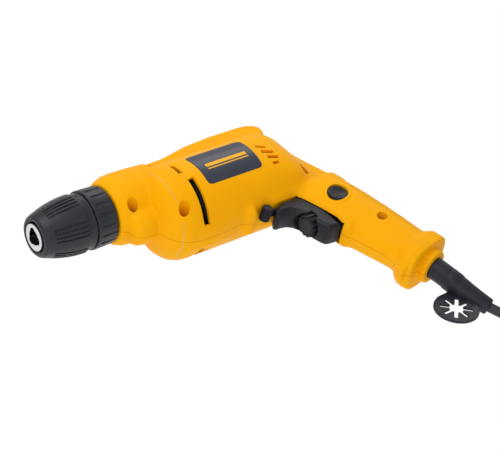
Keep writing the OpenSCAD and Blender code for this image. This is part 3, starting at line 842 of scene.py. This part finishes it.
MATERIALS = {
    "yellow_plastic": yellow_plastic(),
    "trigger_plastic": moulded(
        "trigger_plastic", (0.017, 0.018, 0.022), (0.012, 0.013, 0.017), (0.34, 0.46),
        specular=0.2),
    "sleeve_plastic": moulded(
        "sleeve_plastic", (0.022, 0.025, 0.032), (0.016, 0.018, 0.024), (0.30, 0.42),
        specular=0.3),
    "black_plastic": moulded(
        "black_plastic", (0.030, 0.030, 0.033), (0.022, 0.022, 0.025), (0.4, 0.55)),
    "black_rubber": moulded(
        "black_rubber", (0.018, 0.021, 0.030), (0.013, 0.015, 0.022), (0.38, 0.50), 0.0008,
        specular=0.25),
    "cord_jacket": moulded(
        "cord_jacket", (0.020, 0.021, 0.024), (0.014, 0.015, 0.018), (0.45, 0.6), 0.0006),
    "plug_plastic": moulded(
        "plug_plastic", (0.022, 0.022, 0.025), (0.016, 0.016, 0.018), (0.4, 0.55)),
    "label_print": moulded(
        "label_print", (0.036, 0.042, 0.060), (0.032, 0.037, 0.053), (0.26, 0.34), 0.0005,
        0.00002, 0.15, specular=0.25, coat=0.06),
    "label_mark": moulded(
        "label_mark", (0.90, 0.44, 0.003), (0.86, 0.41, 0.003), (0.3, 0.4), 0.0005,
        0.00002, 0.1, specular=0.15),
    "suppressor_case": moulded(
        "suppressor_case", (0.62, 0.50, 0.20), (0.52, 0.42, 0.16), (0.25, 0.4)),
    "lead_insulation": moulded(
        "lead_insulation", (0.10, 0.16, 0.40), (0.08, 0.13, 0.34), (0.3, 0.45)),
    "fan_plastic": moulded("fan_plastic", (0.03, 0.03, 0.03), (0.02, 0.02, 0.02), (0.4, 0.6)),
    "carbon": moulded("carbon", (0.02, 0.02, 0.02), (0.04, 0.04, 0.04), (0.5, 0.7)),
    "zinc_steel": metal("zinc_steel", (0.66, 0.66, 0.62), (0.25, 0.42), (20, 20, 20)),
    "bearing_steel": metal("bearing_steel", (0.62, 0.63, 0.64), (0.12, 0.25)),
    "cast_aluminium": metal("cast_aluminium", (0.68, 0.68, 0.68), (0.4, 0.6), (8, 8, 8), 0.5),
    "sintered_bronze": metal(
        "sintered_bronze", (0.55, 0.40, 0.20), (0.35, 0.55), (20, 20, 20), 0.5),
    "lamination_steel": metal(
        "lamination_steel", (0.30, 0.30, 0.31), (0.4, 0.6), (60, 1, 1), 0.6),
    "copper_wire": metal("copper_wire", (0.62, 0.26, 0.12), (0.25, 0.4), (30, 2, 2), 0.8),
    "commutator_copper": metal("commutator_copper", (0.75, 0.40, 0.24), (0.2, 0.35)),
    "brass_sheet": metal("brass_sheet", (0.72, 0.56, 0.26), (0.25, 0.4), (5, 5, 5)),
    "spring_steel": metal("spring_steel", (0.5, 0.5, 0.5), (0.25, 0.4), (20, 20, 20)),
    # the chuck's steel, with painted shade down its bore
    "chuck_steel": painted_bore_shade(metal("chuck_steel", (0.78, 0.79, 0.80), (0.2, 0.34))),
    "jaw_steel": metal("jaw_steel", (0.11, 0.11, 0.12), (0.3, 0.5), (10, 10, 10)),
    "black_oxide_steel": metal("black_oxide_steel", (0.06, 0.06, 0.06), (0.3, 0.5), (10, 10, 10)),
    "nickel_plate": metal("nickel_plate", (0.74, 0.72, 0.68), (0.08, 0.2), (10, 10, 10), 0.05),
}


def paint(obj, slot):
    obj.data.materials.clear()
    obj.data.materials.append(MATERIALS[slot])


for entry in frame["record"]["subparts"]:
    node_object = nodes.get(entry["node"])
    if node_object is None:
        continue
    for material_slot in node_object.material_slots:
        material_slot.link = "OBJECT"
        material_slot.material = MATERIALS[entry["material_slot"]]

bpy.context.scene.view_settings.view_transform = "Standard"


# ------------------------------------------------------------------ chuck sleeves
def spokes(y, z, count, offset=0.0):
    """Angle from the nearest of count spokes round the spindle, in degrees."""
    turn = np.degrees(np.arctan2(z, y)) - offset
    step = 360.0 / count
    return (turn + step / 2) % step - step / 2


FRONT_SLEEVE = [
    (-1.4, 11.4), (-0.4, 12.4), (-0.5, 14.0), (-2.0, 15.5), (-5.0, 16.6), (-9.0, 17.9),
    (-15.0, 19.6), (-21.0, 20.8), (-27.0, 21.6), (-33.0, 21.9), (-33.8, 21.0), (-34.6, 20.5),
    (-39.6, 20.9),
]
REAR_SLEEVE = [
    (-40.4, 18.0), (-40.4, 21.4), (-41.0, 22.0), (-46.0, 21.9), (-56.4, 21.5), (-57.4, 20.6),
    (-57.4, 18.0),
]
# Radii inside the front sleeve: round the nose ring, and round the chuck's body behind it
NOSE_HOLE_R, SLEEVE_HOLE_R = 11.1, 19.1
FRONT_GROOVES_DEG = (-13.0, -4.4, 4.4, 13.0)


def front_sleeve_field(x, y, z):
    """The turning sleeve: six groups of four grooves along its taper."""
    rho = np.hypot(y, z)
    outside = lathe_x(x, y, z, FRONT_SLEEVE)
    inner = np.minimum(rho - NOSE_HOLE_R, np.maximum(rho - SLEEVE_HOLE_R, x + 21.4))
    taper = np.minimum(11.0 + (-7.5 - x) * 8.05 / 14.0, SLEEVE_HOLE_R)
    inner = np.minimum(inner, np.maximum(rho - taper, x + 7.4))
    body = np.maximum(outside, -inner)
    surface = np.interp(x, *zip(*FRONT_SLEEVE[::-1]))
    for offset in FRONT_GROOVES_DEG:
        arc = np.radians(spokes(y, z, 6, 30 + offset)) * rho
        groove = rounded_and(np.abs(arc) - 0.8, np.abs(rho - surface - 1.2) - 2.2, 0.3)
        groove = smooth_max(groove, np.abs(x + 20.2) - 12.4, 1.0)
        body = smooth_max(body, -groove, 0.35)
    return body


def rear_sleeve_field(x, y, z):
    """The held sleeve: eighteen short grooves round it."""
    rho = np.hypot(y, z)
    body = np.maximum(lathe_x(x, y, z, REAR_SLEEVE), 18.55 - rho)
    arc = np.radians(spokes(y, z, 18, 4.0)) * rho
    groove = rounded_and(np.abs(arc) - 1.3, np.abs(rho - 22.5) - 1.5, 0.4)
    groove = smooth_max(groove, np.abs(x + 50.2) - 6.9, 0.8)
    return smooth_max(body, -groove, 0.4)


def piece(obj, slot, body, *replaced, finish=None):
    """Paints a piece with its finish, or else its slot's material, hides the parts it replaces, and
    sets it on its body.
    """
    paint(obj, finish or slot)
    if replaced:
        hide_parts(*replaced)
    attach(obj, body)
    return obj


def make_sleeves():
    front = field_object("sleeve_front", front_sleeve_field, (-41, -24, -24), (0, 24, 24), 0.5)
    piece(front, "sleeve_plastic", "chuck_sleeve", "front_sleeve")
    rear = field_object("sleeve_rear", rear_sleeve_field, (-59, -24, -24), (-39, 24, 24), 0.5)
    piece(rear, "sleeve_plastic", "spindle", "rear_sleeve")


# ------------------------------------------------------------------ trigger, dial, lever, button
TRIGGER = [
    (-202, 59.9), (-170, 59.9), (-167.4, 60.5), (-166.2, 62.2), (-166.5, 64.4), (-168.8, 65.8),
    (-173.0, 66.0), (-177.4, 66.8), (-180.8, 69.2), (-183.4, 73.6), (-185.4, 79.6),
    (-187.0, 86.0), (-189.0, 92.0), (-190.8, 95.2), (-194.0, 96.2), (-202, 96.2),
]
CHEEK = [
    (-201, 61.5), (-170.5, 61.5), (-173.0, 58.4), (-177.0, 56.4), (-188.0, 55.7), (-201, 56.0),
]
STEM = [(-217, 72), (-200, 72), (-200, 84), (-217, 84)]
# The dial's back face along X, and its centre along Y
DIAL = (-191.2, 78.0)
DIAL_R = 9.0


def trigger_field(x, y, z):
    """The trigger: crowned front, cheeks, stem, and the pockets of its dial and spring."""
    face = polygon_distance(x, y, TRIGGER)
    crown = 1.5 * np.clip(np.abs(z) / TRIGGER_HALF_W, 0, 1) ** 2.2 * np.clip((x + 204) / 12, 0, 1)
    body = rounded_and(face + crown, np.abs(z) - TRIGGER_HALF_W, 2.2)
    cheek = rounded_and(polygon_distance(x, y, CHEEK), np.abs(np.abs(z) - 7.95) - 1.25, 0.4)
    body = smooth_min(body, cheek, 3.0)
    body = np.minimum(body, prism(x, y, z, STEM, 5.7, 0.6))
    rho = np.hypot(y - DIAL[1], z)
    pocket = np.maximum(rho - DIAL_R - 0.55, (DIAL[0] - 0.35) - x)
    body = smooth_max(body, -pocket, 0.6)
    body = np.maximum(body, -np.maximum(rho - 2.1, np.abs(x - DIAL[0]) - 5.4))
    spring = np.maximum(rho - 4.0, x + 207.0)
    return np.maximum(body, -spring)


def dial_field(x, y, z):
    """The speed dial: a notched disc with a dished face and a ring on it."""
    y = y - DIAL[1]
    rho = np.hypot(y, z)
    disc = rounded_and(rho - DIAL_R, np.abs(x - DIAL[0] - 3.5) - 3.5, 0.9)
    arc = np.radians(spokes(y, z, 14)) * rho
    notch = rounded_and(np.abs(arc) - 1.1, np.abs(rho - 9.6) - 1.7, 0.3)
    disc = smooth_max(disc, -notch, 0.4)
    dish = np.hypot(x - (DIAL[0] + 7.0 + 38.0), rho) - 38.45
    disc = smooth_max(disc, -dish, 0.3)
    ring = rounded_and(np.abs(rho - 6.6) - 0.35, np.abs(x - DIAL[0] - 7.0) - 0.45, 0.1)
    disc = smooth_max(disc, -ring, 0.2)
    axle = np.maximum(rho - 2.0, np.abs(x - DIAL[0] + 2.0) - 2.5)
    return np.minimum(disc, axle)


LEVER_PIVOT_X = -186.0
LEVER_SWING_DEG = 12.0
LEVER_Y, LEVER_HALF_T = 57.8, 1.4
LEVER_TAB = (26.6, 59.3)
LEVER_TAB_R = 4.1
LEVER_TAB_Z = 1.4


def lever_field(x, y, z):
    """The lever in its own axes, with the pivot on the origin."""
    sheet = np.abs(y - LEVER_Y) - LEVER_HALF_T
    pivot = rounded_and(np.hypot(x, z) - 5.0, sheet, 0.4)
    arm = np.maximum(rounded_and(np.abs(z) - 2.5, sheet, 0.4), np.abs(x - 12.0) - 12.0)
    dx, dy = x - LEVER_TAB[0], y - LEVER_TAB[1]
    rho = np.hypot(dx, dy)
    across = np.abs(z - LEVER_TAB_Z)
    tab = rounded_and(rho - LEVER_TAB_R, across - 5.6, 0.9)
    arc = np.radians(spokes(dx, dy, 14)) * rho
    groove = rounded_and(np.abs(arc) - 0.42, np.abs(rho - 4.3) - 0.85, 0.2)
    groove = smooth_max(groove, across - 4.7, 0.5)
    tab = smooth_max(tab, -groove, 0.25)
    return smooth_min(np.minimum(pivot, arm), tab, 0.6)


def button_field(x, y, z):
    """The lock-on button: a dished cap on a stem."""
    x, y = x - LOCK[0], y - LOCK[1]
    rho = np.hypot(x, y)
    head = rounded_and(rho - 7.7, np.abs(z - 16.25) - 1.4, 0.7)
    dish = np.sqrt(rho ** 2 + (z - 17.7 - 16.0) ** 2) - 17.1
    head = smooth_max(head, -dish, 0.5)
    stem = np.maximum(rho - 3.0, np.abs(z - 13.4) - 1.8)
    return np.minimum(head, stem)


def make_controls():
    trigger = field_object("trigger_grip", trigger_field, (-219, 57, -11), (-163, 100, 11), 0.55)
    piece(trigger, "trigger_plastic", "trigger", "trigger")
    dial = field_object("dial_knob", dial_field, (-195, 67, -11), (-180, 89, 11), 0.4)
    piece(dial, "trigger_plastic", "speed_dial", "speed_dial")
    swing = Matrix.Rotation(math.radians(-LEVER_SWING_DEG), 4, "Y")
    matrix = REST @ Matrix.Translation((LEVER_PIVOT_X, 0, 0)) @ swing
    lever = field_object("lever_tab", lever_field, (-6, 54, -8.5), (33, 66, 8.5), 0.35, matrix)
    piece(lever, "trigger_plastic", "direction_lever", "direction_lever")
    button = field_object("button_cap", button_field, (-224, 65, 10), (-207, 82, 20), 0.35)
    piece(button, "trigger_plastic", "lock_button", "lock_button")


# ------------------------------------------------------------------ labels
LABEL_X, LABEL_DEG = (-170.5, -120.6), (61.5, 114.5)
STRIPE_X, STRIPES_DEG = (-164.5, -127.5), ((84.5, 89.5), (80.4, 82.2))


def label_patch(side, x0, x1, a0, a1, corner, low, high):
    """The field of a patch on the motor housing, between two angles and two radii."""
    mid = math.radians((a0 + a1) / 2)
    half_arc = math.radians(a1 - a0) / 2 * MOTOR_R
    half_x = (x1 - x0) / 2

    def field(x, y, z):
        rho = np.hypot(y - MOTOR_Y, z)
        arc = (np.arctan2(side * z, y - MOTOR_Y) - mid) * MOTOR_R
        qx = np.abs(x - (x0 + x1) / 2) - half_x + corner
        qy = np.abs(arc) - half_arc + corner
        flat = np.minimum(np.maximum(qx, qy), 0.0) - corner
        flat = flat + np.hypot(np.maximum(qx, 0), np.maximum(qy, 0))
        return rounded_and(flat, np.abs(rho - (low + high) / 2) - (high - low) / 2, 0.12)
    return field


def label_object(name, slot, finish, side, x0, x1, a0, a1, corner, low, high, *replaced):
    field = label_patch(side, x0, x1, a0, a1, corner, low, high)
    ys = [MOTOR_Y + r * math.cos(math.radians(a)) for r in (low, high) for a in (a0, a1)]
    peak = min(max(a0, 90), a1)
    zs = [side * r * math.sin(math.radians(a)) for r in (low, high) for a in (a0, a1, peak)]
    lo = (x0 - 1, min(ys) - 1, min(zs) - 1)
    hi = (x1 + 1, max(ys) + 1, max(zs) + 1)
    obj = field_object(name, field, lo, hi, 0.36)
    return piece(obj, slot, "housing", *replaced, finish=finish)


def make_labels():
    for side, node in ((1, "side_label"), (-1, "rating_plate")):
        tag = "left" if side > 0 else "right"
        label_object(f"label_{tag}", "label_print", "label_print", side, *LABEL_X, *LABEL_DEG,
                     3.6, MOTOR_R - 0.55, MOTOR_R + 0.3, node)
        for k, stripe in enumerate(STRIPES_DEG):
            label_object(f"label_stripe_{tag}_{k}", "yellow_plastic", "label_mark", side,
                         *STRIPE_X, *stripe, 0.4, MOTOR_R - 0.3, MOTOR_R + 0.42)


# ------------------------------------------------------------------ boot, key holder and plug
BOOT_RADII = (8.3, 8.4, 8.3, 8.0, 7.3, 6.2)
BOOT_SHARP_DEG = 40.0
ROUND_SIDES = 40


def smooth_route(points, steps):
    """Catmull-Rom points through a route."""
    pts = [Vector(p) for p in points]
    pts = [2 * pts[0] - pts[1]] + pts + [2 * pts[-1] - pts[-2]]
    out = []
    for i in range(1, len(pts) - 2):
        a, b, c, d = pts[i - 1:i + 3]
        for k in range(steps):
            t = k / steps
            out.append(0.5 * (2 * b + (c - a) * t + (2 * a - 5 * b + 4 * c - d) * t * t
                              + (3 * b - a - 3 * c + d) * t ** 3))
    return out + [pts[-2]]


def make_boot():
    """The cord's strain relief: a tapered tube along its route, rounded at the far end."""
    steps = 8
    route = smooth_route(BOOT_POINTS, steps)
    last = len(route) - 1
    # Each ring: its point on the route, its share of the radius, and how far past the point
    plan = [(0, 0.55, 0.0), (0, 0.9, 0.0)] + [(i, 1.0, 0.0) for i in range(last + 1)]
    plan += [(last, 0.92, 0.5), (last, 0.72, 0.8)]
    bm = bmesh.new()
    rings = []
    for i, scale, past in plan:
        heading = (route[min(i + 1, last)] - route[max(i - 1, 0)]).normalized()
        side = heading.cross(Vector((0, 0, 1))).normalized()
        radius = float(np.interp(i / steps, range(len(BOOT_RADII)), BOOT_RADII)) * scale
        rings.append(circle_ring(bm, route[i] + heading * past, radius, side, side.cross(heading),
                                 ROUND_SIDES))
    skin_rings(bm, rings)
    boot = bm_object("cord_strain_relief", bm, WORLD_MM, BOOT_SHARP_DEG)
    piece(boot, "black_rubber", "housing", "cord_boot")


KEY_DISC = (-99.0, 107.0, 9.8)
KEY_R = 16.6
KEY_NECK = [
    (-14.2, 8.6), (-16.8, 2.0), (-21.0, -13.0), (-19.4, -19.0), (-13.0, -21.5), (-8.6, -17.6),
    (3.0, -16.2),
]
BAND_ENDS = ((-112.0, 83.2, 17.3), (-114.9, 92.1, 14.3))
# The band's radius at each share of its length
BAND_PROFILE = ((0.0, 7.9), (0.04, 8.3), (0.1, 8.55), (0.9, 8.45), (0.96, 8.1), (1.0, 7.6))


def key_field(x, y, z):
    """The flat rubber key holder: a disc with an eight-rayed hole, and the neck to its band."""
    x, y, z = x - KEY_DISC[0], y - KEY_DISC[1], z - KEY_DISC[2]
    rho = np.hypot(x, y)
    outline = smooth_min(rho - KEY_R, polygon_distance(x, y, KEY_NECK), 2.0)
    turn = np.arctan2(y, x) + math.radians(1)
    step = math.pi / 4
    local = (turn + step / 2) % step - step / 2
    along, off = rho * np.cos(local), np.abs(rho * np.sin(local))
    ray = rounded_and(off - 1.35, along - 11.8, 0.4)
    hole = smooth_min(rho - 5.0, ray, 0.9)
    flat = np.maximum(outline, -hole)
    return rounded_and(flat, np.abs(z) - 0.95, 0.4)


def make_key_holder():
    x, y, z = KEY_DISC
    holder = field_object("key_holder_disc", key_field, (x - 22, y - 22, z - 2.2),
                          (x + 18, y + 18, z + 2.2), 0.4, WORLD_MM)
    piece(holder, "black_rubber", "housing", "key_holder")
    bm = bmesh.new()
    a, b = (Vector(end) for end in BAND_ENDS)
    axis = (b - a).normalized()
    side = axis.cross(Vector((0, 0, 1))).normalized()
    skin_rings(bm, [
        circle_ring(bm, a.lerp(b, t), r, side, side.cross(axis), ROUND_SIDES)
        for t, r in BAND_PROFILE
    ], closed=True)
    band = bm_object("key_holder_band", bm, WORLD_MM, BOOT_SHARP_DEG)
    piece(band, "black_rubber", "housing")


PLUG_AT = (-252.0, 83.0, 10.0)


def plug_field(x, y, z):
    """The two-pin plug's body: a ribbed neck that widens into a rounded block."""
    x, y, z = x - PLUG_AT[0], PLUG_AT[1] - y, z - PLUG_AT[2]
    rho = np.hypot(x, z)
    neck_r = np.interp(y, [0, 16, 24, 26], [5.2, 6.8, 9.4, 9.6])
    neck = rounded_and((rho - neck_r) * 0.95, np.abs(y - 12.5) - 12.4, 0.8)
    rib = np.abs((y % 3.4) - 1.7) - 0.55
    rib = rounded_and(rib, np.abs(y - 8.0) - 6.0, 0.1)
    neck = smooth_max(neck, -rib - 1e3 * (rho < neck_r - 1.1), 0.4)
    half_w = np.interp(y, [20, 27, 34], [15.0, 17.4, 17.2])
    half_h = np.interp(y, [20, 27, 34], [8.0, 9.6, 9.4])
    block = superellipse(np.abs(x) / half_w, np.abs(z) / half_h, 4, half_h)
    block = rounded_and(block, np.abs(y - 27.4) - 6.5, 2.0)
    return smooth_min(neck, block, 3.0)


def make_plug():
    x, y, z = PLUG_AT
    plug = field_object("plug_shell", plug_field, (x - 19, y - 36, 0.0),
                        (x + 19, y + 2, z + 11), 0.6, WORLD_MM)
    piece(plug, "plug_plastic", "housing", "plug_body")
    return plug


make_sleeves()
make_controls()
make_labels()
make_boot()
make_key_holder()
plug = make_plug()
make_shells()
piece(cord, "cord_jacket", "housing", "cord_lead", "cord_coil")
